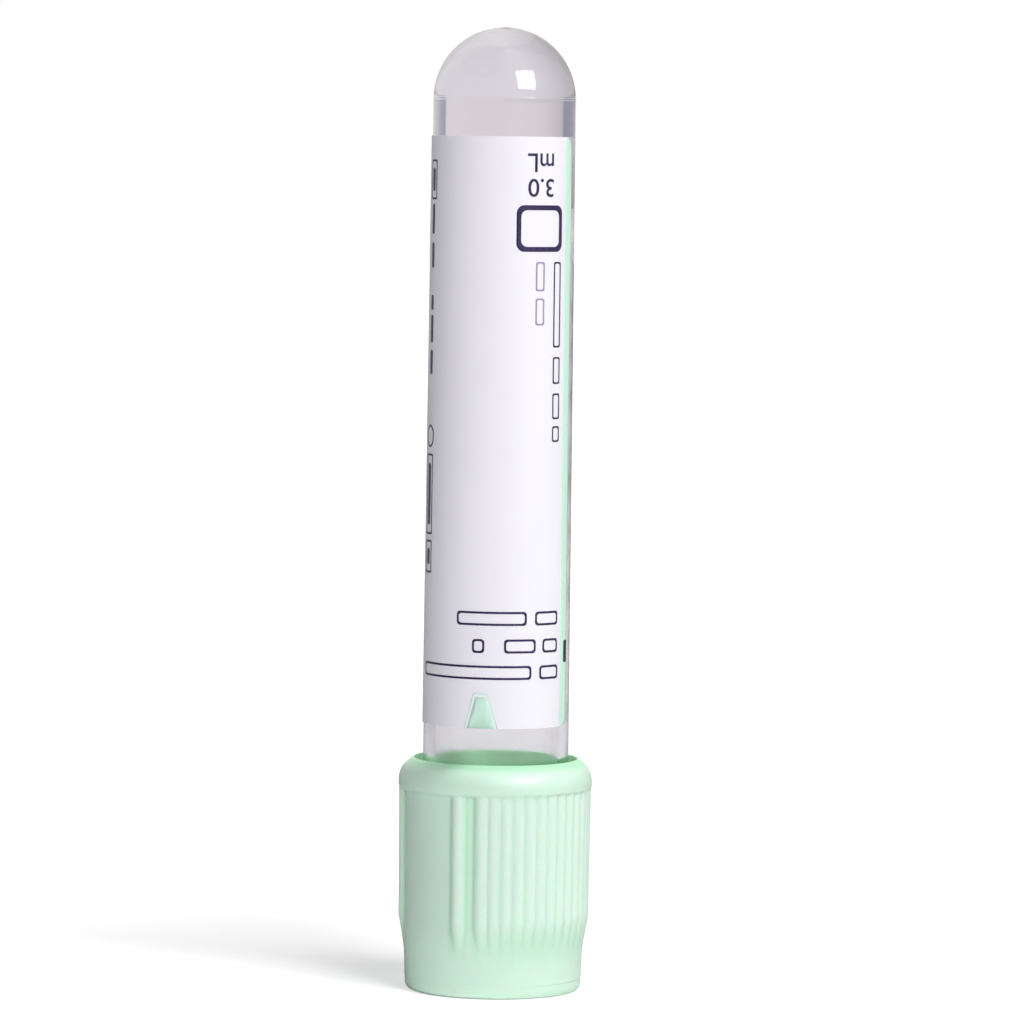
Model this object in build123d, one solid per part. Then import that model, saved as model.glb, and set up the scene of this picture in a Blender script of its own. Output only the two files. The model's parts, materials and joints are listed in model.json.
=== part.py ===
from build123d import *
from math import cos, radians, sin, sqrt, tan
import os

# Blood collection tube, 13 x 75 mm, 3 mL draw, with separator gel and a pull-off safety closure.
# It stands upside down on its closure: the origin is the centre of the closure's flat end face,
# +Z runs up the tube's axis to its round end, and the label's front looks towards -Y.
# Angles round the axis are counted from the front (-Y) towards +X. Lengths are in millimetres.

# --- tube: clear PET, injection moulded ---
TUBE_LENGTH = 75.0
TUBE_LIP_R = 6.31
TUBE_WALL = 0.95
TUBE_DRAFT = 0.175             # degrees a side, on the wall and the bore alike
LIP_ROUND = 0.25
GATE_MARK_R = 0.8              # shallow ring round the gate's nub, at the pole of the round end
GATE_MARK_DEPTH = 0.15
GATE_NUB_R = 0.35

# --- separator gel, set in the tube's round end ---
GEL_DEPTH = 15.4               # from the pole of the round end to the gel's edge on the bore
GEL_MENISCUS = 0.5
GEL_FILM = 0.02                # from the gel's side to the bore

# --- label: printed film wrapped round the tube, its ends apart so that a window stays ---
LABEL_HEIGHT = 50.4
LABEL_FROM_LIP = 15.3
LABEL_THICKNESS = 0.09
LABEL_GLUE = 0.01
LABEL_EDGE_ANGLE = 72.0        # where the label's printed edge lies
LABEL_WINDOW_ANGLE = 48.0
LABEL_CORNER_R = 1.2

# --- closure shield: soft plastic moulding that covers the stopper and the tube's mouth ---
SHIELD_HEIGHT = 19.9           # to the edge of its mouth
END_WALL = 1.4
NEEDLE_OPENING_R = 4.3
NEEDLE_OPENING_ROUND = 0.4
FLANGE_SEAT_HEIGHT = 5.6
POCKET_CLEARANCE = 0.05        # round the stopper's flange
BOSS_CLEARANCE = 0.1           # round the stopper's boss
BEAD_GAP = 0.19                # from the bead that traps the stopper's flange to the tube
BEAD_HEIGHT = 1.1
BEAD_ROUND = 0.25
SKIRT_GAP = 0.54               # from the skirt's bore to the tube's lip
SKIRT_WALL = 0.93
SKIRT_DRAFT = 0.5              # degrees
FOOT_ROUND = 0.6
MOUTH_FLARE = 0.53
MOUTH_FLARE_DEPTH = 2.3
RIM_HEIGHT = 2.6
RIM_STAND_OUT = 0.56           # past the skirt's wall
RIM_ROUND = 2.1                # of the rim's outer shoulder, which the mouth cuts short of its crown
RIM_LEDGE_BEVEL = 0.3

# --- grip ribs: half-round bars on the skirt, in two groups half a turn apart ---
RIB_R = 0.7
RIB_HEIGHT = 0.52              # crest above the skirt's wall
RIB_PITCH_ANGLE = 7.66
RIB_FIRST_ANGLE = -23.1
RIB_SLOTS = (0, *range(2, 14), 15)   # slots 1 and 14 are empty, which sets the outer ribs apart
RIB_KNEE_HEIGHT = 6.5          # where a rib starts to sink into the skirt
RIB_TOE_HEIGHT = 3.8           # where it has vanished in it
RIB_ROOT = 0.6                 # how far its hidden ends run on into the wall and the rim

# --- stopper: moulded rubber ---
FLANGE_THICKNESS = 2.2
FLANGE_OVERHANG = 0.54         # past the tube's lip
FLANGE_ROUND = 0.3
BOSS_R = 5.3
BOSS_END_GAP = 0.8             # from the boss to the shield's end wall
BOSS_ROUND = 0.5
PLUG_LENGTH = 7.7
PLUG_CLEARANCE = 0.03          # running clearance between the plug and the tube's bore
PLUG_NOSE_LENGTH = 2.2
PLUG_NOSE_DROP = 0.6
WELL_R = 2.9
WELL_DEPTH = 4.1
WELL_LEAD_IN = 0.4
DIAPHRAGM = 3.2                # the rubber that the needle pierces
RECESS_R = 3.0
RECESS_ROUND = 0.6

# --- places and radii worked out from those ---
LIP_Z = FLANGE_SEAT_HEIGHT + FLANGE_THICKNESS
TOP_Z = LIP_Z + TUBE_LENGTH
DRAFT_SLOPE = tan(radians(TUBE_DRAFT))
DOME_R = (TUBE_LIP_R - DRAFT_SLOPE * TUBE_LENGTH) / (1 - DRAFT_SLOPE)
DOME_Z = TOP_Z - DOME_R
SKIRT_BORE_R = TUBE_LIP_R + SKIRT_GAP
RIM_Z = SHIELD_HEIGHT - RIM_HEIGHT
FLANGE_R = TUBE_LIP_R + FLANGE_OVERHANG


def tube_r(z):
    """Outer radius of the drafted tube wall at height z."""
    return TUBE_LIP_R - DRAFT_SLOPE * (z - LIP_Z)


def bore_r(z):
    """Radius of the tube's drafted bore at height z."""
    return tube_r(z) - TUBE_WALL


def skirt_r(z):
    """Outer radius of the shield's drafted wall, without its ribs, at height z."""
    return SKIRT_BORE_R + SKIRT_WALL - tan(radians(SKIRT_DRAFT)) * (RIM_Z - z)


def turned(*corners):
    """Solid of revolution round Z; each corner of its outline is (radius, height, rounding)."""
    points = [(radius, height) for radius, height, rounding in corners]
    roundings = [rounding for radius, height, rounding in corners]
    outline = FilletPolyline(*points, radius=roundings, close=True)
    return revolve(Plane.XZ * make_face(outline), Axis.Z)


def round_end(wall_r, end_z):
    """Closed, round-ended bar: a hemisphere on a drafted wall that starts at the lip."""
    dome_r = wall_r(DOME_Z)
    shoulder = (dome_r * cos(radians(45)), DOME_Z + dome_r * sin(radians(45)))
    outline = Polyline((0, DOME_Z + dome_r), (0, end_z), (wall_r(end_z), end_z), (dome_r, DOME_Z))
    outline += ThreePointArc((dome_r, DOME_Z), shoulder, (0, DOME_Z + dome_r))
    return revolve(Plane.XZ * make_face(outline), Axis.Z)


def make_tube():
    tube = round_end(tube_r, LIP_Z) - round_end(bore_r, LIP_Z)
    tube = fillet(tube.edges().group_by(Axis.Z)[0], LIP_ROUND)
    gate_ring = extrude(Circle(GATE_MARK_R) - Circle(GATE_NUB_R), 2 * GATE_MARK_DEPTH)
    return tube - Pos(0, 0, TOP_Z - GATE_MARK_DEPTH) * gate_ring


def make_separator_gel():
    edge_z = TOP_Z - GEL_DEPTH
    gel = round_end(lambda z: bore_r(z) - GEL_FILM, edge_z)
    edge_r = bore_r(edge_z)
    meniscus_r = (edge_r**2 + GEL_MENISCUS**2) / (2 * GEL_MENISCUS)
    return gel - Pos(0, 0, edge_z + GEL_MENISCUS - meniscus_r) * Sphere(meniscus_r)


def make_label():
    low = LIP_Z + LABEL_FROM_LIP
    high = low + LABEL_HEIGHT
    wrap = 360 - LABEL_WINDOW_ANGLE
    section = [(tube_r(z) + LABEL_GLUE + lift, z)
               for z, lift in ((low, 0), (low, LABEL_THICKNESS), (high, LABEL_THICKNESS), (high, 0))]
    film = revolve(Plane.XZ * make_face(Polyline(*section, close=True)), Axis.Z, revolution_arc=wrap)
    for angle, inward in ((0, 1), (wrap, -1)):
        out = Vector(cos(radians(angle)), sin(radians(angle)), 0)
        along = Vector(-out.Y, out.X, 0) * inward
        for z, upward in ((low, 1), (high, -1)):
            corner = Rectangle(2 * LABEL_CORNER_R, 2 * LABEL_CORNER_R)
            corner -= Pos(LABEL_CORNER_R, upward * inward * LABEL_CORNER_R) * Circle(LABEL_CORNER_R)
            on_wall = Plane(out * tube_r(z) + Vector(0, 0, z), x_dir=along, z_dir=out)
            film -= extrude(on_wall * corner, amount=2 * LABEL_CORNER_R, both=True)
    return Rot(0, 0, LABEL_EDGE_ANGLE + LABEL_WINDOW_ANGLE - 90) * film


def make_stopper():
    boss_z = END_WALL + BOSS_END_GAP
    plug_z = LIP_Z + PLUG_LENGTH
    nose_z = plug_z - PLUG_NOSE_LENGTH
    well_z = boss_z + WELL_DEPTH
    nose_r = bore_r(nose_z) - PLUG_CLEARANCE
    body = turned(
        (0, boss_z, 0),
        (BOSS_R, boss_z, BOSS_ROUND),
        (BOSS_R, FLANGE_SEAT_HEIGHT, 0),
        (FLANGE_R, FLANGE_SEAT_HEIGHT, FLANGE_ROUND),
        (FLANGE_R, LIP_Z, FLANGE_ROUND),
        (bore_r(LIP_Z) - PLUG_CLEARANCE, LIP_Z, 0),
        (nose_r, nose_z, 0),
        (nose_r - PLUG_NOSE_DROP, plug_z, PLUG_NOSE_DROP),
        (0, plug_z, 0),
    )
    needle_well = turned(
        (0, boss_z, 0),
        (WELL_R + WELL_LEAD_IN, boss_z, 0),
        (WELL_R, boss_z + WELL_LEAD_IN, 0),
        (WELL_R, well_z, 0),
        (0, well_z, 0),
    )
    recess = turned(
        (0, well_z + DIAPHRAGM, 0),
        (RECESS_R, well_z + DIAPHRAGM, RECESS_ROUND),
        (RECESS_R, plug_z, 0),
        (0, plug_z, 0),
    )
    return body - needle_well - recess


def make_rib():
    """One half-round grip bar, on the +X side: along the drafted skirt, then down into it."""
    knee_r = skirt_r(RIB_KNEE_HEIGHT) + RIB_HEIGHT
    toe_r = skirt_r(RIB_TOE_HEIGHT)
    slope = (knee_r - toe_r) / (RIB_KNEE_HEIGHT - RIB_TOE_HEIGHT)
    crest = [
        (toe_r - slope * RIB_ROOT, RIB_TOE_HEIGHT - RIB_ROOT),
        (knee_r, RIB_KNEE_HEIGHT),
        (skirt_r(RIM_Z + RIB_ROOT) + RIB_HEIGHT, RIM_Z + RIB_ROOT),
    ]
    run = Plane.XZ * Polyline(*[(radius - RIB_R, z) for radius, z in crest])
    section = Plane(run @ 0, z_dir=run % 0) * Circle(RIB_R)
    return sweep(section, path=run, transition=Transition.RIGHT)


def make_closure_shield():
    rim_r = skirt_r(RIM_Z) + RIM_STAND_OUT
    mouth_r = SKIRT_BORE_R + MOUTH_FLARE
    crown_z = SHIELD_HEIGHT + RIM_ROUND - sqrt(RIM_ROUND**2 - (mouth_r - rim_r + RIM_ROUND) ** 2)
    shell = turned(
        (0, 0, 0),
        (skirt_r(0), 0, FOOT_ROUND),
        (skirt_r(RIM_Z), RIM_Z, 0),
        (rim_r - RIM_LEDGE_BEVEL, RIM_Z, 0),
        (rim_r, RIM_Z + RIM_LEDGE_BEVEL, 0),
        (rim_r, crown_z, RIM_ROUND),
        (0, crown_z, 0),
    )
    rib = make_rib()
    angles = [half + RIB_FIRST_ANGLE + slot * RIB_PITCH_ANGLE for half in (0, 180) for slot in RIB_SLOTS]
    shell += [Rot(0, 0, angle - 90) * rib for angle in angles]
    pocket_r = FLANGE_R + POCKET_CLEARANCE
    cavity = turned(
        (0, -END_WALL, 0),
        (NEEDLE_OPENING_R + END_WALL, -END_WALL, 0),
        (NEEDLE_OPENING_R + END_WALL, 0, 0),
        (NEEDLE_OPENING_R, 0, NEEDLE_OPENING_ROUND),
        (NEEDLE_OPENING_R, END_WALL, 0),
        (BOSS_R + BOSS_CLEARANCE, END_WALL, 0),
        (BOSS_R + BOSS_CLEARANCE, FLANGE_SEAT_HEIGHT, 0),
        (pocket_r, FLANGE_SEAT_HEIGHT, 0),
        (pocket_r, LIP_Z, 0),
        (TUBE_LIP_R + BEAD_GAP, LIP_Z + BEAD_HEIGHT / 2, BEAD_ROUND),
        (SKIRT_BORE_R, LIP_Z + BEAD_HEIGHT, 0),
        (SKIRT_BORE_R, SHIELD_HEIGHT - MOUTH_FLARE_DEPTH, 0),
        (mouth_r + MOUTH_FLARE * (crown_z - SHIELD_HEIGHT) / MOUTH_FLARE_DEPTH, crown_z, 0),
        (0, crown_z, 0),
    )
    return shell - cavity


pieces = {
    "tube": make_tube(),
    "separator_gel": make_separator_gel(),
    "label": make_label(),
    "stopper": make_stopper(),
    "closure_shield": make_closure_shield(),
}

os.makedirs("parts", exist_ok=True)
for name, piece in pieces.items():
    piece.label = name
    export_step(piece, f"parts/{name}.step")
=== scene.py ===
import json
from math import cos, hypot, pi, radians, sin, tan

import bmesh
import bpy
import numpy as np
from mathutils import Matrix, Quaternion, Vector

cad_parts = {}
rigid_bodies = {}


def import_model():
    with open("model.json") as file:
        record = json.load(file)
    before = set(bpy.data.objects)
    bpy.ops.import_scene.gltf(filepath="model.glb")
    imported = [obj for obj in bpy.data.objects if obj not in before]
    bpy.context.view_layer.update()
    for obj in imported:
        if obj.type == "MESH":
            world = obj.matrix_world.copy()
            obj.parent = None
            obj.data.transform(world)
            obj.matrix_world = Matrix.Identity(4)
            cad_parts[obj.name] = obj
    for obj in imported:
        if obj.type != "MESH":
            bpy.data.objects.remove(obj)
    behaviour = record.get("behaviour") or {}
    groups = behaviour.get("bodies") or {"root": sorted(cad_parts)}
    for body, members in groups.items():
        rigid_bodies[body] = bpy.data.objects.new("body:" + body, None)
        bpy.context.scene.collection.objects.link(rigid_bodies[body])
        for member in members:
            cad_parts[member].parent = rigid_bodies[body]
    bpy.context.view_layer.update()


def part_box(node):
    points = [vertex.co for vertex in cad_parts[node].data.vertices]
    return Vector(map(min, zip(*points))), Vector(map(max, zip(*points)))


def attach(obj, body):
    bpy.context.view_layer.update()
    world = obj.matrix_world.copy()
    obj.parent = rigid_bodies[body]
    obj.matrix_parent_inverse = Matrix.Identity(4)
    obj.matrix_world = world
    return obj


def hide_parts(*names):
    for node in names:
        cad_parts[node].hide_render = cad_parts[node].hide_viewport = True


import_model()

# --- Tube ---------------------------------------------------------------------------------------
# The sample tube: clear PET, injection moulded with a slight draft, with the gate's mark on its
# round end. It stands mouth down on the stopper's flange. Lengths in the script are millimetres.

MM = 0.001
tube_low, tube_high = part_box("tube")
LIP_Z, TOP_Z = tube_low.z / MM, tube_high.z / MM
LIP_R, LIP_ROUND = 6.31, 0.25
WALL = 0.95
DRAFT = tan(radians(0.175))
DOME_R = (LIP_R - DRAFT * (TOP_Z - LIP_Z)) / (1 - DRAFT)
DOME_Z = TOP_Z - DOME_R
GEL_DEPTH = 15.4
GEL_EDGE_Z = TOP_Z - GEL_DEPTH
SPLIT_Z, SPLIT_STEP = DOME_Z + 0.1, 0.013
GATE_R, GATE_DEPTH, GATE_NUB_R = 0.8, 0.15, 0.35
TURN_COLUMNS, DOME_STEPS = 192, 40
# The outer dome runs from the split line to the gate's mark, in degrees above its centre.
SPLIT_ANGLE, GATE_ANGLE = 1.5, 82
# Half the angle at a corner, in radians, past which it is too nearly straight to round.
NEARLY_STRAIGHT = 1.55
# Heights of the rings of points down the bore and up the wall. Two stand at the gel's edge, where
# the bore's finish changes.
MOUTH_RING = 9
BORE_RINGS = (76.5, 74, 71, GEL_EDGE_Z + 0.1, GEL_EDGE_Z, 60, 40, 25, 15, MOUTH_RING)
WALL_RINGS = (15, 25, 40, 60, 70, 75, 76.2)


def tube_r(z):
    """Outer radius of the drafted wall at height z: it falls in proportion to the height."""
    return LIP_R - DRAFT * (z - LIP_Z)


def wall_line(heights, depth=0.0):
    """Outline points (radius, height) on the drafted wall, or at a depth inside its outer face."""
    heights = np.array(heights, float)
    return np.stack([tube_r(heights) - depth, heights], 1)


def dome_arc(radius, centre_z, start, stop, steps=DOME_STEPS):
    """Arc of a sphere's outline: radius times (cos, sin) of angles from start to stop, in degrees."""
    angle = np.radians(np.linspace(start, stop, steps + 1))
    return np.stack([radius * np.cos(angle), centre_z + radius * np.sin(angle)], 1)


def rounded_outline(*corners, steps=6, margin=0.12):
    """Outline in (radius, height) through corners (r, z, rounding).

    A corner is turned by an arc of its rounding that touches both runs; a run gets one more point
    near each of its ends, so that the arcs' shading stays off it.
    """
    at = np.array([corner[:2] for corner in corners], float)
    points = [at[:1]]
    for before, here, after, rounding in zip(at, at[1:], at[2:], [c[2] for c in corners[1:]]):
        back_run, on_run = hypot(*(before - here)), hypot(*(after - here))
        back, on = (before - here) / back_run, (after - here) / on_run
        half = np.arccos(np.clip(back @ on, -1, 1)) / 2
        if rounding == 0 or half > NEARLY_STRAIGHT:
            points.append(here[None])
            continue
        reach = rounding / tan(half)
        centre = here + (back + on) / hypot(*(back + on)) * rounding / sin(half)
        start, stop = here + back * reach - centre, here + on * reach - centre
        share = np.linspace(0, 1, steps + 1)[:, None]
        turn = pi - 2 * half
        arc = (np.sin((1 - share) * turn) * start + np.sin(share * turn) * stop) / sin(turn)
        near = [here + back * (reach + margin)] if back_run > reach + 3 * margin else []
        far = [here + on * (reach + margin)] if on_run > reach + 3 * margin else []
        points += [np.array(near).reshape(-1, 2), centre + arc, np.array(far).reshape(-1, 2)]
    return np.concatenate(points + [at[-1:]])


def turned(outline):
    """Outline swung round Z: row i, column j is (r_i cos a_j, r_i sin a_j, z_i), a_j in equal steps."""
    r, z = outline[:, :1], outline[:, 1:]
    a = np.linspace(0, 2 * pi, TURN_COLUMNS, endpoint=False)[None]
    return np.stack([r * np.cos(a), r * np.sin(a), z + 0 * a], 2)


def grid_faces(rows, columns, close_rows=False, close_columns=True):
    """Quads (i, j), (i, j+1), (i+1, j+1), (i+1, j) of a grid, wrapped round where it is closed."""
    i = np.arange(rows if close_rows else rows - 1)[:, None]
    j = np.arange(columns if close_columns else columns - 1)[None]
    here, right = i * columns + j, i * columns + (j + 1) % columns
    up, up_right = (i + 1) % rows * columns + j, (i + 1) % rows * columns + (j + 1) % columns
    return np.stack([here, right, up_right, up], 2).reshape(-1, 4)


def new_piece(name, body, vertices, faces, materials, material_of_face=None):
    """Smooth mesh at the origin from millimetre vertices and a list of faces, riding on a body."""
    mesh = bpy.data.meshes.new(name)
    mesh.from_pydata((np.asarray(vertices) * MM).tolist(), [], faces)
    mesh.update()
    for material in materials:
        mesh.materials.append(material)
    if material_of_face is not None:
        mesh.polygons.foreach_set("material_index", np.asarray(material_of_face, np.int32))
    mesh.polygons.foreach_set("use_smooth", np.full(len(mesh.polygons), True))
    piece = bpy.data.objects.new(name, mesh)
    bpy.context.scene.collection.objects.link(piece)
    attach(piece, body)
    return piece


def turned_solid(name, body, outline, materials, material_of_row=None):
    """Closed body of revolution whose outline runs counter-clockwise from pole to pole.

    The rows between the poles are a grid, and a fan of triangles closes each pole.
    """
    points = turned(outline)
    rows, columns = points.shape[:2]
    vertices = np.concatenate([points[0, :1], points[1:-1].reshape(-1, 3), points[-1, :1]])
    walls = grid_faces(rows - 2, columns) + 1
    last = len(vertices) - 1
    column = np.arange(columns)
    right = (column + 1) % columns
    first_fan = np.stack([0 * column, right + 1, column + 1], 1)
    last_fan = np.stack([0 * column + last, last - columns + column, last - columns + right], 1)
    faces = first_fan.tolist() + walls.tolist() + last_fan.tolist()
    material_of_face = None if material_of_row is None else np.repeat(material_of_row, columns)
    return new_piece(name, body, vertices, faces, materials, material_of_face)


def new_material(name):
    """Empty node material: returns it with its node tree and its output node."""
    material = bpy.data.materials.new(name)
    material.use_nodes = True
    material.node_tree.nodes.clear()
    return material, material.node_tree, material.node_tree.nodes.new("ShaderNodeOutputMaterial")


def add(tree, kind, inputs=None, **settings):
    """Adds a node; inputs give its sockets a plain value, or a socket that feeds them."""
    node = tree.nodes.new("ShaderNode" + kind)
    for key, value in settings.items():
        setattr(node, key, value)
    for key, value in (inputs or {}).items():
        if isinstance(value, bpy.types.NodeSocket):
            tree.links.new(value, node.inputs[key])
        else:
            node.inputs[key].default_value = value
    return node


def new_group(name, given, wanted):
    """Empty node group: given is name: (kind, value) of its inputs, wanted is name: kind of its outputs.

    Returns the group, the sockets that bring the inputs in, and those that take the outputs.
    """
    group = bpy.data.node_groups.new(name, "ShaderNodeTree")
    for socket, (kind, value) in given.items():
        made = group.interface.new_socket(socket, in_out="INPUT", socket_type="NodeSocket" + kind)
        made.default_value = value
    for socket, kind in wanted.items():
        group.interface.new_socket(socket, in_out="OUTPUT", socket_type="NodeSocket" + kind)
    return group, group.nodes.new("NodeGroupInput").outputs, group.nodes.new("NodeGroupOutput").inputs


def smeared_face():
    """Roughness of a handled clear face: it drifts from 0 up to Smear in soft patches of noise."""
    group, given, wanted = new_group("smeared_face", {"Smear": ("Float", 0.05)}, {"Roughness": "Float"})
    place = add(group, "TexCoord").outputs["Object"]
    cloud = add(group, "TexNoise", {"Vector": place, "Scale": 420.0, "Detail": 3.0})
    rough = add(group, "MapRange", {"Value": cloud.outputs["Fac"], "From Min": 0.35, "From Max": 0.75,
                                    "To Min": 0.0, "To Max": given["Smear"]})
    group.links.new(rough.outputs["Result"], wanted["Roughness"])
    return group


smear_group = smeared_face()


def clear_material(name, ior, colour, smear=0.0, tint=None, density=0.0, clear=1.0):
    """Clear plastic or gel of one IOR. Lamps shine through it, and tint fills its body.

    A face that is less than fully clear is milky for the rest.
    """
    material, tree, output = new_material(name)
    face = add(tree, "BsdfPrincipled", {"Base Color": colour, "Roughness": 0.0, "IOR": ior,
                                        "Transmission Weight": clear})
    if smear:
        smeared = add(tree, "Group", {"Smear": smear}, node_tree=smear_group)
        tree.links.new(smeared.outputs["Roughness"], face.inputs["Roughness"])
    lamp_side = add(tree, "BsdfTransparent", {"Color": colour})
    shadow = add(tree, "LightPath").outputs["Is Shadow Ray"]
    both = add(tree, "MixShader", {0: shadow, 1: face.outputs[0], 2: lamp_side.outputs[0]})
    tree.links.new(both.outputs[0], output.inputs["Surface"])
    if tint:
        body = add(tree, "VolumeAbsorption", {"Color": tint, "Density": density})
        tree.links.new(body.outputs[0], output.inputs["Volume"])
    return material


PET_IOR, GEL_IOR = 1.575, 1.48
PET_COLOUR = (0.985, 0.98, 0.98, 1)
UNTINTED = (1, 1, 1, 1)
pet = clear_material("clear_pet", PET_IOR, PET_COLOUR, smear=0.05)
pet_on_gel = clear_material("clear_pet_on_gel", PET_IOR / GEL_IOR, UNTINTED)
pet_bore = clear_material("clear_pet_bore", PET_IOR, UNTINTED, smear=0.3)

inner_dome = dome_arc(DOME_R - WALL, DOME_Z, 90, 0)
bore = wall_line(BORE_RINGS, WALL)
lip = rounded_outline(
    (tube_r(MOUTH_RING) - WALL, MOUTH_RING, 0), (LIP_R - WALL, LIP_Z, LIP_ROUND), (LIP_R, LIP_Z, LIP_ROUND),
    (tube_r(MOUTH_RING), MOUTH_RING, 0))[1:]
wall = wall_line(WALL_RINGS)
split_line = np.array([
    [DOME_R + SPLIT_STEP / 2, SPLIT_Z - 0.2], [DOME_R + SPLIT_STEP, SPLIT_Z - 0.06],
    [DOME_R + SPLIT_STEP, SPLIT_Z - 0.05], [DOME_R, SPLIT_Z]])
outer_dome = dome_arc(DOME_R, DOME_Z, SPLIT_ANGLE, GATE_ANGLE)
gate = rounded_outline(
    (GATE_R + 0.06, TOP_Z - 0.06, 0), (GATE_R, TOP_Z - 0.055, 0.04),
    (GATE_R - 0.04, TOP_Z - GATE_DEPTH, 0.05), (GATE_NUB_R + 0.05, TOP_Z - GATE_DEPTH, 0.05),
    (GATE_NUB_R, TOP_Z - 0.01, 0.04), (0, TOP_Z, 0), steps=3)
tube_outline = np.concatenate([inner_dome, bore, lip, wall, split_line, outer_dome, gate])
inside = np.arange(len(tube_outline) - 1) < len(inner_dome) + len(bore) - 1
on_gel = tube_outline[1:, 1] >= GEL_EDGE_Z
tube = turned_solid("tube_wall", "filled_tube", tube_outline, [pet, pet_on_gel, pet_bore],
                    np.select([inside & on_gel, inside], [1, 2], 0))
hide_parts("tube")

# --- Separator gel ------------------------------------------------------------------------------
# A plug of thixotropic gel, poured into the tube's round end. It wets the bore all round, so that
# its side is optically one with the PET, and its free face has set to a shallow, milky bowl.

GEL_FILM = 0.02
BOWL_DEPTH = 0.5
GEL_TINT, GEL_DENSITY = (0.80, 0.74, 0.78, 1), 40.0
FREE_FACE_COLOUR = (0.80, 0.77, 0.79, 1)
edge_r = tube_r(GEL_EDGE_Z) - WALL - GEL_FILM
bowl_r = (edge_r**2 + BOWL_DEPTH**2) / (2 * BOWL_DEPTH)
bowl_angle = np.degrees(np.arcsin(edge_r / bowl_r))
bowl = dome_arc(bowl_r, GEL_EDGE_Z + BOWL_DEPTH - bowl_r, 90, 90 - bowl_angle, steps=14)
gel_side = wall_line((GEL_EDGE_Z + 0.2, 70, 73, 76, 76.5), WALL + GEL_FILM)
gel_dome = dome_arc(DOME_R - WALL - GEL_FILM, DOME_Z, 0, 90)
gel_outline = np.concatenate([bowl, gel_side, gel_dome])
free_face = np.arange(len(gel_outline) - 1) < len(bowl) - 1
gel_in_tube = clear_material("gel_on_pet", 1.0, UNTINTED, tint=GEL_TINT, density=GEL_DENSITY)
gel_free = clear_material("gel_free_face", GEL_IOR, FREE_FACE_COLOUR, smear=0.1, tint=GEL_TINT,
                          density=GEL_DENSITY, clear=0.3)
gel = turned_solid("gel_plug", "filled_tube", gel_outline, [gel_in_tube, gel_free], free_face.astype(int))
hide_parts("separator_gel")

# --- Label --------------------------------------------------------------------------------------
# White polypropylene film, die cut with round corners and wrapped round the wall. Its ends stand
# apart, so that a clear window is left behind the printed edge.

label_low, label_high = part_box("label")
LABEL_LOW, LABEL_HIGH = label_low.z / MM, label_high.z / MM
LABEL_GLUE, LABEL_THICKNESS = 0.01, 0.09
LABEL_FACE_R = LIP_R + LABEL_GLUE + LABEL_THICKNESS
LABEL_TURN = LABEL_FACE_R * pi / 180
LABEL_EDGE, LABEL_WRAP = 69.0, 309.0
LABEL_CORNER = 1.2
LABEL_ROWS, LABEL_COLUMNS = 40, 261


def linear(red, green, blue):
    """Screen colour from 0 to 255 as linear light: the standard curve, power 2.4 above its toe."""
    share = np.array([red, green, blue]) / 255
    value = np.where(share <= 0.04045, share / 12.92, ((share + 0.055) / 1.055) ** 2.4)
    return (*value.tolist(), 1.0)


def on_label(across, height, lift):
    """Point lift outside the label's face. Across is the length round the face from the front, to the
    right, so that the angle is across over the face's radius, less a quarter turn."""
    r = tube_r(height) + LABEL_GLUE + LABEL_THICKNESS + lift
    angle = across / LABEL_FACE_R - pi / 2
    return np.stack([r * np.cos(angle), r * np.sin(angle), height + 0 * angle], -1)


def make_label(materials):
    """Film of even thickness that spans the wrap at each height, less what its round corners cut.

    The cut is the corner's radius, less the root of its square less the square of how far the height
    is inside the corner. Face and back are the same grid, and quads round the rim join them.
    """
    right, left = LABEL_EDGE * LABEL_TURN, (LABEL_EDGE - LABEL_WRAP) * LABEL_TURN
    ease = LABEL_CORNER * (1 - np.cos(np.linspace(0, pi / 2, 10)))
    straight = np.linspace(LABEL_LOW + 2, LABEL_HIGH - 2, LABEL_ROWS)
    height = np.concatenate([LABEL_LOW + ease, straight, LABEL_HIGH - ease[::-1]])
    in_corner = np.maximum(LABEL_CORNER - np.minimum(height - LABEL_LOW, LABEL_HIGH - height), 0)
    cut = LABEL_CORNER - np.sqrt(np.maximum(LABEL_CORNER**2 - in_corner**2, 0))
    share = np.linspace(0, 1, LABEL_COLUMNS)[None]
    across = (left + cut)[:, None] * (1 - share) + (right - cut)[:, None] * share
    height = height[:, None] + 0 * across
    face, back = on_label(across, height, 0), on_label(across, height, -LABEL_THICKNESS)
    rows, columns = across.shape
    count = rows * columns
    vertices = np.concatenate([face.reshape(-1, 3), back.reshape(-1, 3)])
    front = grid_faces(rows, columns, close_columns=False)
    index = np.arange(count).reshape(rows, columns)
    rim = np.concatenate([index[0], index[1:, -1], index[-1, -2::-1], index[-2:0:-1, 0]])
    after = np.roll(rim, -1)
    edge = np.stack([rim, rim + count, after + count, after], 1)
    faces = np.concatenate([front, front[:, ::-1] + count, edge])
    return new_piece("label_film", "filled_tube", vertices, faces.tolist(), materials)


film, tree, output = new_material("label_film")
place = add(tree, "TexCoord").outputs["Object"]
fibre = add(tree, "TexNoise", {"Vector": place, "Scale": 5200.0, "Detail": 4.0, "Roughness": 0.6})
cloud = add(tree, "TexNoise", {"Vector": place, "Scale": 160.0, "Detail": 2.0})
shade = add(tree, "Mix", {"Factor": cloud.outputs["Fac"], 6: linear(240, 239, 244), 7: linear(244, 243, 248)},
            data_type="RGBA")
rough = add(tree, "MapRange", {"Value": fibre.outputs["Fac"], "To Min": 0.42, "To Max": 0.62})
relief = add(tree, "Bump", {"Height": fibre.outputs["Fac"], "Strength": 0.12, "Distance": 0.00002})
paper = add(tree, "BsdfPrincipled", {"Base Color": shade.outputs[2], "Roughness": rough.outputs["Result"],
                                     "IOR": 1.45, "Normal": relief.outputs[0]})
tree.links.new(paper.outputs[0], output.inputs["Surface"])
label = make_label([film])
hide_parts("label")

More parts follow.
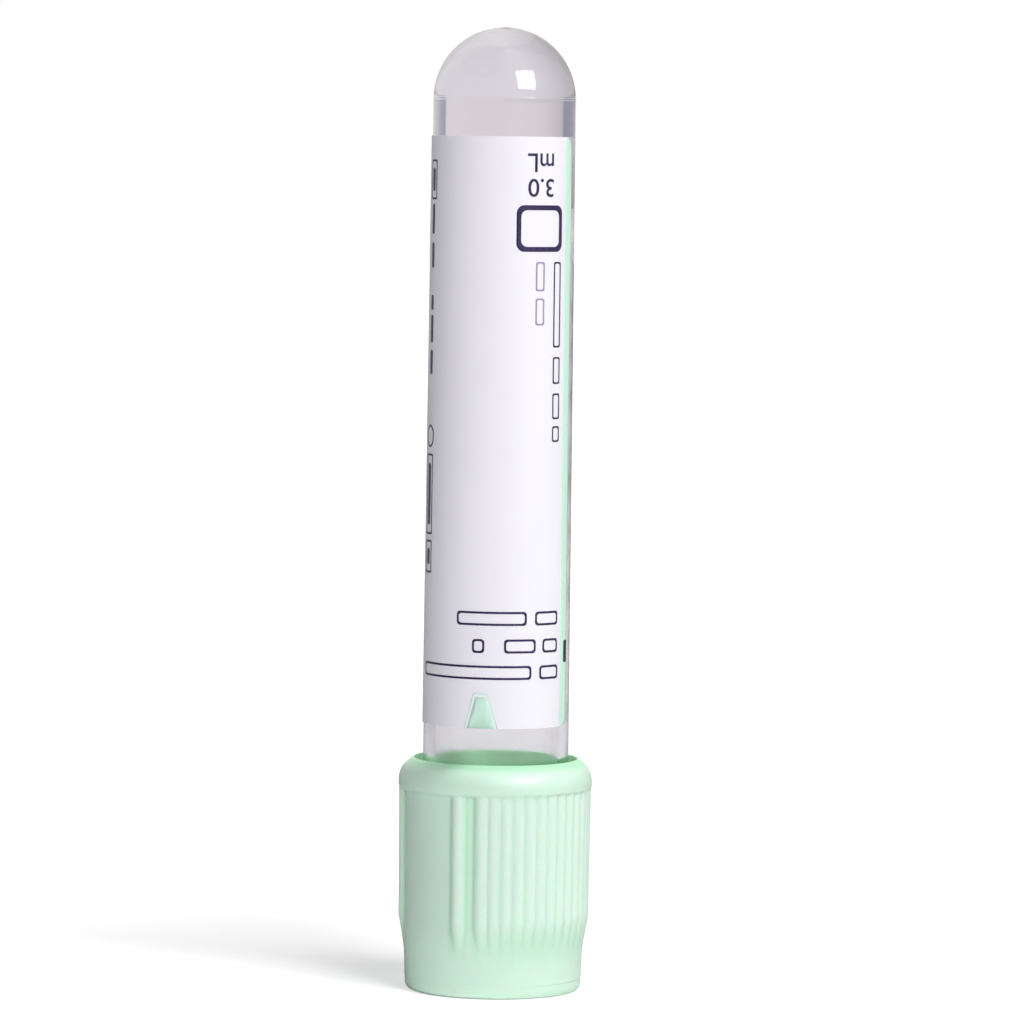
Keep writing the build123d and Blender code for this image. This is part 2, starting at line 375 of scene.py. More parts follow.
# --- Label print --------------------------------------------------------------------------------
# Thin ink on the film: the filling volume and blank outlined fields in dark purple, two fields in
# grey, and a mint band with a dark block and an arrow. It reads the other way up, because the tube
# stands on its cap here.

INK_LIFT, INK_SINK = 0.012, 0.01
INK_STEP, INK_ROW_STEP, INK_WELD = 0.4, 5, 0.002
PRINT_LEFT = -9
WORD_HALF = 0.6
BAND_LEFT, BAND_RIGHT = 6.5, LABEL_EDGE * LABEL_TURN
LABEL_HEIGHT = LABEL_HIGH - LABEL_LOW
EDGE_MARGIN = 0.02
LETTER_BOLD = 0.008


def rounded_box(left, low, right, high, *roundings, steps=6):
    """Closed outline of a box: at each corner a quarter circle of its own rounding, from low left on."""
    x, z = np.array([left, right, right, left]), np.array([low, low, high, high])
    inward = np.array([[1, 1], [-1, 1], [-1, -1], [1, -1]])
    roundings = np.array(roundings * 4 if len(roundings) == 1 else roundings)
    angle = np.radians(np.array([180, 270, 0, 90])[:, None] + np.linspace(0, 90, steps + 1))
    centre = np.stack([x, z], 1) + inward * roundings[:, None]
    swing = np.stack([np.cos(angle), np.sin(angle)], 2) * roundings[:, None, None]
    return (centre[:, None] + swing).reshape(-1, 2)


def field(left, low, right, high, line=0.19, rounding=0.3):
    """Blank field with round corners, drawn as a line: its outline, and the same one drawn in by the
    line's width on both axes."""
    outline = rounded_box(left, low, right, high, rounding)
    middle = (outline.min(0) + outline.max(0)) / 2
    half = (outline.max(0) - outline.min(0)) / 2
    return [outline, middle + (outline - middle) * (half - line) / half]


def field_column(left, right, spans, line, rounding):
    """Blank fields one above another, each from the low to the high height of its span."""
    return [shape for low, high in spans for shape in field(left, low, right, high, line, rounding)]


def arrow(half_base, half_top, top, across=-1.34):
    """Wedge on the label's lower edge, from its base's left end up, over the flat top and down again."""
    return np.array([[across - half_base, EDGE_MARGIN], [across - half_top, top],
                     [across + half_top, top], [across + half_base, EDGE_MARGIN]])


def flat_mesh(curve):
    """Mesh of a flat curve or text, which is then thrown away."""
    holder = bpy.data.objects.new("flat", curve)
    mesh = bpy.data.meshes.new_from_object(holder)
    bpy.data.objects.remove(holder)
    bpy.data.curves.remove(curve)
    return mesh


def flat_shape(outlines):
    """Filled flat mesh of closed outlines in (across, height above the label's lower edge): one inside
    another is a hole."""
    curve = bpy.data.curves.new("outlines", "CURVE")
    curve.dimensions, curve.fill_mode = "2D", "BOTH"
    for outline in outlines:
        spline = curve.splines.new("POLY")
        spline.points.add(len(outline) - 1)
        spline.points.foreach_set("co", np.pad(outline, ((0, 0), (0, 2))).ravel())
        spline.use_cyclic_u = True
    return flat_mesh(curve)


def flat_text(words, left, low, right, high):
    """Words as a flat mesh that fills a box and is turned half round: x goes to right - share * width."""
    curve = bpy.data.curves.new(words, "FONT")
    curve.body = words
    curve.offset = LETTER_BOLD
    mesh = flat_mesh(curve)
    points = np.empty(len(mesh.vertices) * 3)
    mesh.vertices.foreach_get("co", points)
    points = points.reshape(-1, 3)
    share = (points - points.min(0))[:, :2] / (points.max(0) - points.min(0))[:2]
    points[:, :2] = np.array([right, high]) - share * np.array([right - left, high - low])
    mesh.vertices.foreach_set("co", points.ravel())
    return mesh


def cut_flat(flats):
    """Points (across, height) and triangles of flat meshes, cut in strips so that they can bend.

    The cuts run every INK_STEP across and every INK_ROW_STEP up. Triangles turn counter-clockwise.
    """
    sheet = bmesh.new()
    for flat in flats:
        sheet.from_mesh(flat)
        bpy.data.meshes.remove(flat)
    bmesh.ops.remove_doubles(sheet, verts=sheet.verts, dist=INK_WELD)
    cuts = [((across, 0, 0), (1, 0, 0)) for across in np.arange(PRINT_LEFT, BAND_RIGHT, INK_STEP)]
    cuts += [((0, height, 0), (0, 1, 0)) for height in np.arange(INK_ROW_STEP, LABEL_HEIGHT, INK_ROW_STEP)]
    for place, facing in cuts:
        bmesh.ops.bisect_plane(sheet, geom=[*sheet.verts, *sheet.edges, *sheet.faces],
                               plane_co=place, plane_no=facing)
    bmesh.ops.triangulate(sheet, faces=sheet.faces)
    sheet.verts.index_update()
    points = np.array([point.co[:2] for point in sheet.verts])
    faces = np.array([[corner.index for corner in face.verts] for face in sheet.faces])
    sheet.free()
    one, two, three = points[faces[:, 0]], points[faces[:, 1]], points[faces[:, 2]]
    turn = np.cross(two - one, three - one)
    return points, np.where(turn[:, None] < 0, faces[:, ::-1], faces)


def printed(name, flats, material):
    """Ink that follows the label: flat meshes laid on the film point by point, as a thin closed layer.

    An edge whose reverse no triangle has lies on the rim, and gets a side.
    """
    points, faces = cut_flat(flats)
    count = len(points)
    start, stop = faces.ravel(), np.roll(faces, -1, 1).ravel()
    rim = ~np.isin(start * count + stop, stop * count + start)
    start, stop = start[rim], stop[rim]
    sides = np.stack([start, start + count, stop + count, stop], 1)
    across, height = points[:, 0], LABEL_LOW + points[:, 1]
    vertices = np.concatenate([on_label(across, height, INK_LIFT), on_label(across, height, -INK_SINK)])
    layer = new_piece(name, "filled_tube", vertices,
                      faces.tolist() + (faces[:, ::-1] + count).tolist() + sides.tolist(), [material])


def rolled_ink():
    """Ink as a roller leaves it: in fine specks the Colour thins by a twentieth towards the film's
    white, and the low gloss changes with them."""
    group, given, wanted = new_group("rolled_ink", {"Colour": ("Color", (0, 0, 0, 1))},
                                     {"Colour": "Color", "Roughness": "Float"})
    place = add(group, "TexCoord").outputs["Object"]
    speckle = add(group, "TexNoise", {"Vector": place, "Scale": 9000.0, "Detail": 2.0})
    thin = add(group, "MapRange", {"Value": speckle.outputs["Fac"], "From Min": 0.45, "From Max": 0.75,
                                   "To Max": 0.05})
    cover = add(group, "Mix", {"Factor": thin.outputs["Result"], 6: given["Colour"],
                               7: (0.85, 0.85, 0.85, 1)}, data_type="RGBA")
    gloss = add(group, "MapRange", {"Value": speckle.outputs["Fac"], "To Min": 0.35, "To Max": 0.5})
    group.links.new(cover.outputs[2], wanted["Colour"])
    group.links.new(gloss.outputs["Result"], wanted["Roughness"])
    return group


ink_group = rolled_ink()


def ink(name, colour):
    """Printing ink of one colour, with the rolled ink's specks and gloss."""
    material, tree, output = new_material(name)
    face = add(tree, "Group", {"Colour": colour}, node_tree=ink_group)
    surface = add(tree, "BsdfPrincipled", {
        "Base Color": face.outputs["Colour"], "Roughness": face.outputs["Roughness"], "IOR": 1.4})
    tree.links.new(surface.outputs[0], output.inputs["Surface"])
    return material


word_rows = [(4.8, [(-8.3, 3.1), (3.9, 6.1)]), (7.07, [(-2.2, -1.1), (0.6, 3.5), (4.2, 6.0)]),
             (9.42, [(-3.7, 2.6), (3.4, 6.0)])]
word_fields = [shape for z, row in word_rows for left, right in row
               for shape in field(left, z - WORD_HALF, right, z + WORD_HALF)]
small_fields = field_column(5.0, 5.9, [(32.5, 39.8), (29.4, 31.7), (26.4, 28.6), (24.45, 25.8)], 0.15, 0.2)
mark_frame = field(1.2, 40.65, 6.0, 44.6, 0.42, 0.7)
side_frames = field_column(-8.7, -7.3, [(44.95, 48.35), (16.3, 23.2), (13.0, 15.8)], 0.16, 0.15)
side_ring = field(-8.8, 23.75, -7.2, 25.7, 0.18, 0.8)
side_bars = [rounded_box(-8.3, low, -7.7, high, 0.25)
             for low, high in ((42.0, 44.6), (39.1, 41.3), (35.5, 36.8), (32.7, 35.1), (30.0, 32.1),
                               (45.65, 47.65), (17.1, 22.4), (13.7, 15.1))]
batch_fields = field_column(3.05, 3.95, [(37.3, 39.8), (34.4, 36.7)], 0.15, 0.2)
printed("print_purple", [
    flat_text("mL", 2.15, 47.4, 4.84, 49.0), flat_text("3.0", 2.22, 45.3, 4.86, 46.85),
    flat_shape(word_fields + small_fields + mark_frame + side_frames + side_ring + side_bars)],
    ink("purple_ink", linear(34, 20, 70)))
printed("print_grey", [flat_shape(batch_fields)], ink("grey_ink", linear(160, 152, 178)))

# The arrow is filled, and a thin line runs round it from the label's edge and back to it.
arrow_fill = arrow(1.22, 0.47, 2.72)
arrow_line = np.concatenate([arrow(1.5, 0.7, 3.02), arrow(1.4, 0.61, 2.92)[::-1]])
band = rounded_box(BAND_LEFT, EDGE_MARGIN, BAND_RIGHT - EDGE_MARGIN, LABEL_HEIGHT - EDGE_MARGIN,
                   0, LABEL_CORNER, LABEL_CORNER, 0)
block = rounded_box(BAND_LEFT + 0.55, 5.5, BAND_RIGHT - 0.05, 7.4, 0.1)
printed("print_mint", [flat_shape([band, arrow_fill, arrow_line])], ink("mint_ink", linear(208, 246, 226)))
printed("print_block", [flat_shape([block])], ink("block_ink", linear(30, 34, 56)))

# --- Stopper ------------------------------------------------------------------------------------
# Moulded butyl rubber: the plug seals the bore, the flange lies on the lip, and the boss below has
# a well for the needle. It is grey green and matt, and the closure shield hides it.

stopper_low, stopper_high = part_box("stopper")
BOSS_Z, PLUG_Z = stopper_low.z / MM, stopper_high.z / MM
SEAT_Z = 5.6
BOSS_R, FLANGE_R = 5.3, 6.85
WELL_R, WELL_DEPTH = 2.9, 4.1
RECESS_R, RECESS_DEPTH = 3.0, 6.0
PLUG_CLEARANCE = 0.03
PLUG_NOSE = 2.2
plug_r = tube_r(PLUG_Z - PLUG_NOSE) - WALL - PLUG_CLEARANCE
stopper_outline = rounded_outline(
    (0, BOSS_Z + WELL_DEPTH, 0), (WELL_R, BOSS_Z + WELL_DEPTH, 0.15), (WELL_R, BOSS_Z + 0.4, 0.1),
    (WELL_R + 0.4, BOSS_Z, 0.1), (BOSS_R, BOSS_Z, 0.5), (BOSS_R, SEAT_Z, 0.05), (FLANGE_R, SEAT_Z, 0.3),
    (FLANGE_R, LIP_Z, 0.3), (LIP_R - WALL - PLUG_CLEARANCE, LIP_Z, 0.05), (plug_r, PLUG_Z - PLUG_NOSE, 0.4),
    (plug_r - 0.6, PLUG_Z, 0.5), (RECESS_R, PLUG_Z, 0.15), (RECESS_R, PLUG_Z - RECESS_DEPTH, 0.6),
    (0, PLUG_Z - RECESS_DEPTH, 0))


def moulded_skin():
    """Fine even grain of a moulded face, as a height, and a gloss that drifts between low and high."""
    group, given, wanted = new_group(
        "moulded_skin",
        {"Grain Scale": ("Float", 3000.0), "Gloss Low": ("Float", 0.3), "Gloss High": ("Float", 0.5)},
        {"Height": "Float", "Roughness": "Float"})
    place = add(group, "TexCoord").outputs["Object"]
    grain = add(group, "TexNoise", {"Vector": place, "Scale": given["Grain Scale"], "Detail": 3.0})
    patch = add(group, "TexNoise", {"Vector": place, "Scale": 260.0, "Detail": 2.0})
    gloss = add(group, "MapRange", {"Value": patch.outputs["Fac"], "From Min": 0.3, "From Max": 0.7,
                                    "To Min": given["Gloss Low"], "To Max": given["Gloss High"]})
    group.links.new(grain.outputs["Fac"], wanted["Height"])
    group.links.new(gloss.outputs["Result"], wanted["Roughness"])
    return group


skin_group = moulded_skin()


def moulded(name, colour, grain_depth, skin, body):
    """Moulded plastic or rubber: skin sets the moulded skin's grain and gloss, and body the shader's
    own sockets."""
    material, tree, output = new_material(name)
    face = add(tree, "Group", skin, node_tree=skin_group)
    relief = add(tree, "Bump", {"Height": face.outputs["Height"], "Strength": 0.25, "Distance": grain_depth})
    surface = add(tree, "BsdfPrincipled", {"Base Color": colour, "Roughness": face.outputs["Roughness"],
                                           "Normal": relief.outputs[0], **body})
    tree.links.new(surface.outputs[0], output.inputs["Surface"])
    return material


rubber = moulded("stopper_rubber", linear(150, 178, 162), 0.00002,
                 {"Grain Scale": 2600.0, "Gloss Low": 0.65, "Gloss High": 0.8}, {"IOR": 1.52})
stopper = turned_solid("stopper_moulding", "closure", stopper_outline, [rubber])
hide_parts("stopper")

# --- Closure shield -----------------------------------------------------------------------------
# A pull-off cap, injection moulded in one piece from soft, slightly translucent mint polyethylene.
# Half-round grip bars stand in two groups on its skirt, under a heavy rolled rim.

SHIELD_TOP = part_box("closure_shield")[1].z / MM
RIM_Z = SHIELD_TOP - 2.6
RIM_PROUD = 0.56
BORE_R = LIP_R + 0.54
SKIRT_WALL = 0.93
SKIRT_SLOPE = tan(radians(0.5))
SWELL, SWELL_Z, SWELL_SPREAD = 0.11, 4.8, 1.6
FOOT_STEP, FOOT_STEP_Z, FOOT_ROUND = 0.04, 1.1, 0.6
CROWN_ROUND = 2.1
MOUTH_R, CROWN_EDGE_R = BORE_R + 0.18, BORE_R + 0.53
BEAD_R = LIP_R + 0.19
POCKET_R, BOSS_BORE_R = FLANGE_R + 0.05, BOSS_R + 0.1
HOLDER_R, HOLDER_SHELF_Z = 4.3, 1.4
BAR_R, BAR_HEIGHT = 0.7, 0.52
BAR_FIRST, BAR_PITCH = -23.1, 7.66
BAR_SLOTS = np.array([0, *range(2, 14), 15])
BAR_KNEE_Z, BAR_TOE_Z = 6.5, 3.8
BAR_LOW_Z, BAR_HIGH_Z = 1.5, RIM_Z + 0.35
BAR_FALL = 6
GROUP_SLOTS, SLOT_COLUMNS, PLAIN_COLUMNS = 16, 14, 36
GROUP_START = BAR_FIRST - BAR_PITCH / 2
ROOT_FILLET = 0.09


def skirt_r(z):
    """Outer radius of the skirt without its bars: a straight draft, widest under the rim, and a bell
    curve of height SWELL about SWELL_Z where the bars run out."""
    swell = SWELL * np.exp(-(((z - SWELL_Z) / SWELL_SPREAD) ** 2))
    return BORE_R + SKIRT_WALL - SKIRT_SLOPE * (RIM_Z - z) + swell


RIM_R = skirt_r(RIM_Z) + RIM_PROUD


def crown_drop(r):
    """How far the crown's arc has fallen at radius r: its radius, less the root of its square less the
    square of the way out from its centre, which lies one radius inside the rim."""
    return CROWN_ROUND - np.sqrt(CROWN_ROUND**2 - (r - RIM_R + CROWN_ROUND) ** 2)


def shield_outline():
    """Closed outline of the shield between its bars, in two parts.

    The outside runs from the foot up the skirt, under and round the rim and over the crown. The
    inside runs from the mouth down past the bead, the flange's pocket and the boss's bore.
    """
    crown_z = SHIELD_TOP + crown_drop(CROWN_EDGE_R)
    mouth_z = crown_z - crown_drop(MOUTH_R)
    skirt_start, rim_start = FOOT_STEP_Z + 0.2, RIM_Z - 0.2
    foot = rounded_outline(
        (6, 0, 0), (skirt_r(0) - FOOT_STEP, 0, FOOT_ROUND),
        (skirt_r(FOOT_STEP_Z) - FOOT_STEP, FOOT_STEP_Z, 0.02),
        (skirt_r(FOOT_STEP_Z), FOOT_STEP_Z + 0.05, 0.02), (skirt_r(skirt_start), skirt_start, 0),
        steps=5, margin=0.05)[1:-1]
    heights = np.concatenate([np.linspace(skirt_start, 7.6, 32), np.linspace(8.5, RIM_Z - 0.3, 8)])
    skirt = np.stack([skirt_r(heights), heights], 1)
    rim = rounded_outline(
        (skirt_r(rim_start), rim_start, 0), (skirt_r(RIM_Z), RIM_Z, 0.12), (RIM_R - 0.3, RIM_Z + 0.03, 0.12),
        (RIM_R, RIM_Z + 0.3, 0.15), (RIM_R, crown_z, CROWN_ROUND), (MOUTH_R - 0.6, crown_z, 0), steps=10)
    # The crown's arc stops above the skirt's line, and a straight run goes on from it to the mouth.
    rim = rim[rim[:, 0] > skirt_r(rim_start) - 1e-6]
    inside = rounded_outline(
        (MOUTH_R + 0.1, mouth_z - 0.04, 0), (MOUTH_R, mouth_z, 0.08), (BORE_R, SHIELD_TOP - 1.5, 0.3),
        (BORE_R, LIP_Z + 1.1, 0.1), (BEAD_R, LIP_Z + 0.55, 0.25), (POCKET_R, LIP_Z, 0.05),
        (POCKET_R, SEAT_Z, 0.1), (BOSS_BORE_R, SEAT_Z, 0.1), (BOSS_BORE_R, HOLDER_SHELF_Z, 0.15),
        (HOLDER_R, HOLDER_SHELF_Z, 0.15), (HOLDER_R, 0, 0.4), (BOSS_BORE_R, 0, 0), steps=5)[1:]
    return np.concatenate([foot, skirt, rim]), inside


def bar_columns():
    """Angles of the grid's columns: SLOT_COLUMNS to each bar's slot, and wide ones on the plain sides."""
    group_end = GROUP_START + GROUP_SLOTS * BAR_PITCH
    half = np.concatenate([
        np.linspace(GROUP_START, group_end, GROUP_SLOTS * SLOT_COLUMNS, endpoint=False),
        np.linspace(group_end, GROUP_START + 180, PLAIN_COLUMNS, endpoint=False)])
    return np.radians(np.concatenate([half, half + 180]) - 90)


def bar_r(angle, z):
    """Radius of the bars' surface: a round bar of radius BAR_R whose centre line follows the skirt.

    At an angle d off a bar whose centre lies at radius c, it is c cos d + sqrt(BAR_R^2 - (c sin d)^2).
    Below the knee the centre line dives into the skirt, and beside a bar the value falls steeply.
    """
    bars = np.radians(BAR_FIRST + BAR_SLOTS * BAR_PITCH - 90)
    off = np.abs((angle[..., None] - np.concatenate([bars, bars + pi]) + pi) % (2 * pi) - pi).min(-1)
    knee_r, toe_r = skirt_r(BAR_KNEE_Z) + BAR_HEIGHT, skirt_r(BAR_TOE_Z)
    dive = knee_r - (knee_r - toe_r) / (BAR_KNEE_Z - BAR_TOE_Z) * (BAR_KNEE_Z - z)
    centre = np.where(z > BAR_KNEE_Z, skirt_r(z) + BAR_HEIGHT, dive) - BAR_R
    across = centre * np.sin(off)
    round_face = np.sqrt(np.maximum(BAR_R**2 - across**2, 0))
    return centre * np.cos(off) + round_face - BAR_FALL * np.maximum(across - BAR_R, 0)


def barred_r(plain_r, bar):
    """Smooth maximum of skirt and bar: the mean of both plus half the root of their squared difference
    and ROOT_FILLET squared, less what that adds on a plain wall."""
    gap = plain_r - bar
    mean = (plain_r + bar + np.sqrt(gap**2 + ROOT_FILLET**2)) / 2
    return np.clip(mean - ROOT_FILLET**2 / 4 / np.maximum(gap, ROOT_FILLET), plain_r, RIM_R)


def painted_shading_of(plain_r, r, z, bar, is_out):
    """Painted light and shade on the plastic: 0.5 on a plain wall; up to 1 on a bar, a painted highlight
    that makes its crest paler; down to 0 in the grooves beside it, painted shade that makes them greener,
    which comes in from 3 to 7 mm above the foot; and down to -0.4 in the bore, deeper painted shade,
    which comes in over 3 mm above the tube's lip."""
    proud = np.clip((r - plain_r) / BAR_HEIGHT, 0, 1)
    among_bars = np.clip((bar + 1.2 - plain_r) / 0.5, 0, 1) * np.clip((z - 3.0) / 4.0, 0, 1) * (z < RIM_Z)
    in_bore = np.clip((z - LIP_Z) / 3, 0, 1)
    return np.where(is_out, 0.5 + among_bars * (proud - 0.5), 0.5 - 0.9 * in_bore)


outside, inside = shield_outline()
outline = np.concatenate([outside, inside])
plain_r, z = outline[:, :1], outline[:, 1:]
angle = bar_columns()[None]
bar = bar_r(angle + 0 * plain_r, z + 0 * angle)
is_out = np.arange(len(outline))[:, None] < len(outside)
has_bars = is_out & (z > BAR_LOW_Z) & (z < BAR_HIGH_Z)
r = np.where(has_bars, barred_r(plain_r, bar), plain_r + 0 * angle)
shield_grid = np.stack([r * np.cos(angle), r * np.sin(angle), z + 0 * angle], 2)
# Painted light and shade at each point of the shield: a highlight on the bars' crests, and shade in the
# grooves and the bore.
painted_shading = painted_shading_of(plain_r, r, z, bar, is_out)


def toned(tree, value, tones, unit=1.0):
    """Colour that runs straight from tone to tone; a tone is a value, counted in units, and a colour."""
    low, high = tones[0][0], tones[-1][0]
    share = add(tree, "MapRange", {"Value": value, "From Min": low * unit, "From Max": high * unit})
    ramp = add(tree, "ValToRGB", {"Fac": share.outputs["Result"]})
    stops = ramp.color_ramp.elements
    while len(stops) < len(tones):
        stops.new(0.5)
    for stop, (at, colour) in zip(stops, tones):
        stop.position = (at - low) / (high - low)
        stop.color = colour
    return ramp.outputs["Color"]


MINT = linear(213, 243, 222)
mint = moulded(
    "shield_polyethylene", MINT, 0.00003, {"Grain Scale": 3200.0, "Gloss Low": 0.3, "Gloss High": 0.42},
    {"IOR": 1.51, "Subsurface Weight": 0.3, "Subsurface Scale": 0.001,
     "Subsurface Radius": (0.25, 0.9, 0.45)})
mint_shader = mint.node_tree.nodes["Principled BSDF"]
# The mint's colour carries painted light and shade: it is paler on the bars' crests as a painted highlight,
# and greener in the grooves and the bore as painted shade.
shading_share = add(mint.node_tree, "Attribute", attribute_name="painted_shading").outputs["Fac"]
mint_shading_tones = [(-0.4, linear(184, 248, 198)), (0.0, linear(190, 239, 202)), (0.5, MINT),
              (1.0, linear(222, 246, 229))]
mint.node_tree.links.new(toned(mint.node_tree, shading_share, mint_shading_tones), mint_shader.inputs["Base Color"])
shield = new_piece("closure_shield_moulding", "closure", shield_grid.reshape(-1, 3),
                   grid_faces(*shield_grid.shape[:2], close_rows=True).tolist(), [mint])
# Each point keeps its painted light and shade, which picks the mint's tone.
shield.data.attributes.new("painted_shading", "FLOAT", "POINT").data.foreach_set("value", painted_shading.ravel())
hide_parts("closure_shield")

# --- Floor and backdrop -------------------------------------------------------------------------
# A plain white table top that runs out of sight. It takes the object's soft shadow, turns to plain
# white paper further out, and shows through clear plastic as the tones of the sweep.

FLOOR_HALF = 3
PAPER_NEAR, PAPER_FAR, PAPER_GLOW = 0.06, 0.15, 1.2
TABLE_GLOW, TABLE_GLOW_SEEN = 0.06, 0.62


def round_tones(tree, direction, tones):
    """Colour by compass angle: 0 degrees is straight back, plus is to the right, tones in between blend."""
    split = add(tree, "SeparateXYZ", {0: direction})
    compass = add(tree, "Math", {0: split.outputs["X"], 1: split.outputs["Y"]}, operation="ARCTAN2")
    return toned(tree, compass.outputs[0], [(degrees, (*colour, 1)) for degrees, colour in tones], pi / 180)


floor_mesh = bpy.data.meshes.new("floor")
floor_mesh.from_pydata([(-FLOOR_HALF, -FLOOR_HALF, 0), (FLOOR_HALF, -FLOOR_HALF, 0),
                        (FLOOR_HALF, FLOOR_HALF, 0), (-FLOOR_HALF, FLOOR_HALF, 0)], [], [(0, 1, 2, 3)])
floor = bpy.data.objects.new("floor", floor_mesh)
bpy.context.scene.collection.objects.link(floor)
white, tree, output = new_material("white_floor")
paths = add(tree, "LightPath")
place = add(tree, "TexCoord").outputs["Object"]
reach = add(tree, "VectorMath", {0: place}, operation="LENGTH")
far = add(tree, "MapRange", {"Value": reach.outputs["Value"], "From Min": PAPER_NEAR, "From Max": PAPER_FAR})
glow = add(tree, "MapRange", {"Value": paths.outputs["Is Camera Ray"], "To Min": TABLE_GLOW,
                              "To Max": TABLE_GLOW_SEEN})
table = add(tree, "BsdfDiffuse", {"Color": (0.8, 0.8, 0.8, 1)})
glowing = add(tree, "Emission", {"Color": (1, 1, 1, 1), "Strength": glow.outputs["Result"]})
table_top = add(tree, "AddShader", {0: table.outputs[0], 1: glowing.outputs[0]})
backing = add(tree, "Emission", {"Color": (1, 1, 1, 1), "Strength": PAPER_GLOW})
share = add(tree, "Math", {0: paths.outputs["Is Camera Ray"], 1: far.outputs["Result"]}, operation="MULTIPLY")
lit = add(tree, "MixShader", {0: share.outputs[0], 1: table_top.outputs[0], 2: backing.outputs[0]})
floor_tones = [(-180, (0.62, 0.61, 0.65)), (-90, (0.56, 0.55, 0.59)), (-55, (0.53, 0.52, 0.56)),
               (-28, (0.66, 0.64, 0.69)), (0, (0.79, 0.77, 0.82)), (35, (0.78, 0.76, 0.81)),
               (65, (0.64, 0.63, 0.67)), (100, (0.66, 0.65, 0.69)), (180, (0.62, 0.61, 0.65))]
through = add(tree, "Emission", {"Color": round_tones(tree, place, floor_tones)})
lit_through = add(tree, "MixShader", {0: paths.outputs["Is Transmission Ray"], 1: lit.outputs[0],
                                      2: through.outputs[0]})
tree.links.new(lit_through.outputs[0], output.inputs["Surface"])
floor_mesh.materials.append(white)

# --- World --------------------------------------------------------------------------------------
# A white room: an even fill on the object, a little stronger from the front, and white behind it.
# Clear plastic shows the pale sweep with the room's darker sides, and gloss the room's bright sheets.

FILL, FRONT_FILL = 0.02, 0.04
FILL_COLOUR = (1.0, 0.95, 1.03, 1)
FILL_FROM = (-0.17, -0.94, 0.3)
GLOSS_STRENGTH = 1.4
world = bpy.data.worlds.new("studio")
bpy.context.scene.world = world
world.use_nodes = True
tree = world.node_tree
tree.nodes.clear()
output = tree.nodes.new("ShaderNodeOutputWorld")
paths = add(tree, "LightPath")
direction = add(tree, "TexCoord").outputs["Generated"]
room_tones = [(-180, (0.62, 0.61, 0.65)), (-90, (0.60, 0.59, 0.66)), (-76, (0.46, 0.46, 0.54)),
              (-70, (0.26, 0.28, 0.35)), (-42.5, (0.285, 0.30, 0.37)), (-40, (0.54, 0.52, 0.55)),
              (-34, (0.59, 0.56, 0.59)), (-17, (0.70, 0.67, 0.695)), (0, (0.76, 0.73, 0.755)),
              (34, (0.80, 0.77, 0.79)), (40, (0.78, 0.755, 0.775)), (42.5, (0.34, 0.355, 0.435)),
              (54, (0.35, 0.36, 0.44)), (58, (0.42, 0.42, 0.50)), (90, (0.44, 0.44, 0.52)),
              (180, (0.62, 0.61, 0.65))]
gloss_tones = [(-180, (0.35, 0.35, 0.35)), (-140, (0.10, 0.10, 0.10)), (-80, (0.12, 0.12, 0.13)),
               (-60, (0.46, 0.46, 0.47)), (-45, (0.78, 0.77, 0.77)), (-10, (0.70, 0.68, 0.65)),
               (18, (0.46, 0.44, 0.42)), (60, (0.20, 0.20, 0.21)), (90, (0.50, 0.50, 0.50)),
               (120, (0.9, 0.9, 0.9)), (160, (0.8, 0.8, 0.8)), (180, (0.35, 0.35, 0.35))]
front = add(tree, "VectorMath", {0: direction, 1: FILL_FROM}, operation="DOT_PRODUCT")
front_fill = add(tree, "MapRange", {"Value": front.outputs["Value"], "To Min": FILL,
                                    "To Max": FILL + FRONT_FILL})
fill = add(tree, "Background", {"Color": FILL_COLOUR, "Strength": front_fill.outputs["Result"]})
behind = add(tree, "Background", {"Color": (1, 1, 1, 1), "Strength": 1.0})
through = add(tree, "Background", {"Color": round_tones(tree, direction, room_tones), "Strength": 1.0})
mirrored = add(tree, "Background", {"Color": round_tones(tree, direction, gloss_tones),
                                    "Strength": GLOSS_STRENGTH})
shown = fill
for ray, sight in (("Is Camera Ray", behind), ("Is Glossy Ray", mirrored), ("Is Transmission Ray", through)):
    shown = add(tree, "MixShader", {0: paths.outputs[ray], 1: shown.outputs[0], 2: sight.outputs[0]})
tree.links.new(shown.outputs[0], output.inputs["Surface"])

# --- Lamps --------------------------------------------------------------------------------------
# On the object: a softbox high on the right with the gleam that clear plastic shows of it, a sheet
# and a small high lamp on the right, a reflector in front and a lamp behind. The table lamp lights
# the floor alone, and sets the shadow there.

AIM = Vector((0, 0, 0.05))
WHITE = (1, 1, 1)


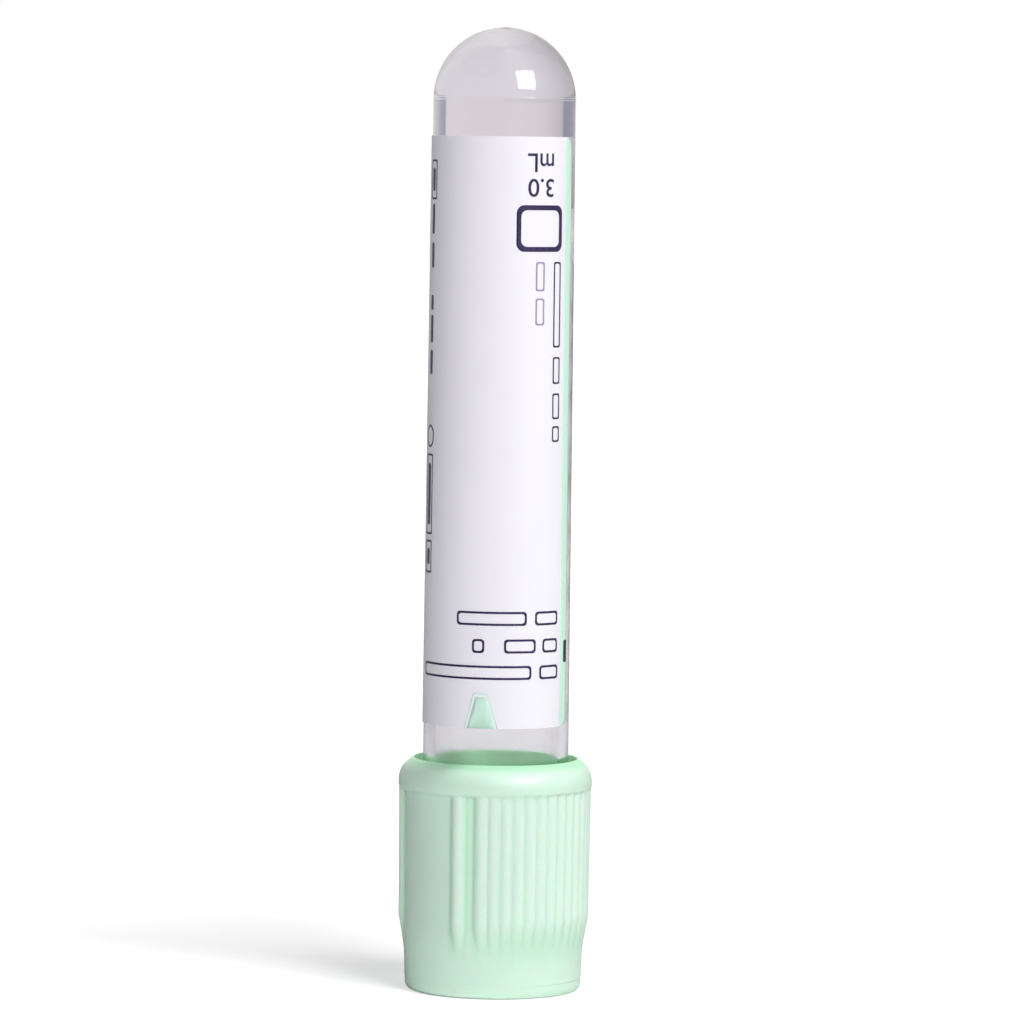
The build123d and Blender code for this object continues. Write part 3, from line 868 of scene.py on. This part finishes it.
def soft_lamp(name, azimuth, elevation, size, power, colour=WHITE, gleams=False, distance=1.0, roll=0):
    """Square area lamp aimed at the object's middle from an azimuth right of the front, in degrees.

    It stands at AIM plus its distance times (sin a cos e, -cos a cos e, sin e). A lamp that gleams is
    seen in gloss and lights nothing else.
    """
    lamp = bpy.data.lights.new(name, "AREA")
    lamp.shape, lamp.size, lamp.energy, lamp.color = "SQUARE", size, power, colour
    holder = bpy.data.objects.new(name, lamp)
    a, e = radians(azimuth), radians(elevation)
    toward = Vector((sin(a) * cos(e), -cos(a) * cos(e), sin(e)))
    turn = toward.to_track_quat("Z", "Y") @ Quaternion((0, 0, 1), radians(roll))
    holder.location, holder.rotation_euler = toward * distance + AIM, turn.to_euler()
    holder.visible_glossy, holder.visible_diffuse, holder.visible_transmission = gleams, not gleams, False
    bpy.context.scene.collection.objects.link(holder)
    return holder


on_floor, on_object = bpy.data.collections.new("on_floor"), bpy.data.collections.new("on_object")
for piece in bpy.context.scene.objects:
    if piece.type == "MESH":
        (on_floor if piece == floor else on_object).objects.link(piece)
table_lamp = soft_lamp("table_lamp", 38, 51, 0.47, 9.2)
table_lamp.light_linking.receiver_collection = on_floor
for lamp in (soft_lamp("softbox", 44, 31, 0.55, 2.5, (1.0, 0.985, 0.96)),
             soft_lamp("softbox_gleam", 39, 31, 0.53, 6.0, gleams=True, roll=-5),
             soft_lamp("side_sheet", 88, 18, 0.5, 0.4),
             soft_lamp("high_lamp", 95, 64, 0.12, 5.2, distance=0.9),
             soft_lamp("reflector", -2, 15, 0.5, 5.2, (1.0, 0.97, 1.04)),
             soft_lamp("back_lamp", 190, 25, 0.5, 4.0)):
    lamp.light_linking.receiver_collection = on_object

# --- Camera -------------------------------------------------------------------------------------
# It stands half a metre in front, level with the tube's upper part, with a long lens that looks
# slightly down and leans a little.

EYE = (0.00067, -0.511, 0.0734)
LENS = 209.2
LOOKS_DOWN, LEANS = 3.6, -0.8
lens = bpy.data.cameras.new("camera")
lens.sensor_width, lens.lens = 36.0, LENS
camera = bpy.data.objects.new("camera", lens)
camera.location = EYE
camera.rotation_euler = (radians(90 - LOOKS_DOWN), radians(LEANS), 0)
bpy.context.scene.collection.objects.link(camera)
bpy.context.scene.camera = camera
bpy.context.scene.view_settings.view_transform = "Standard"
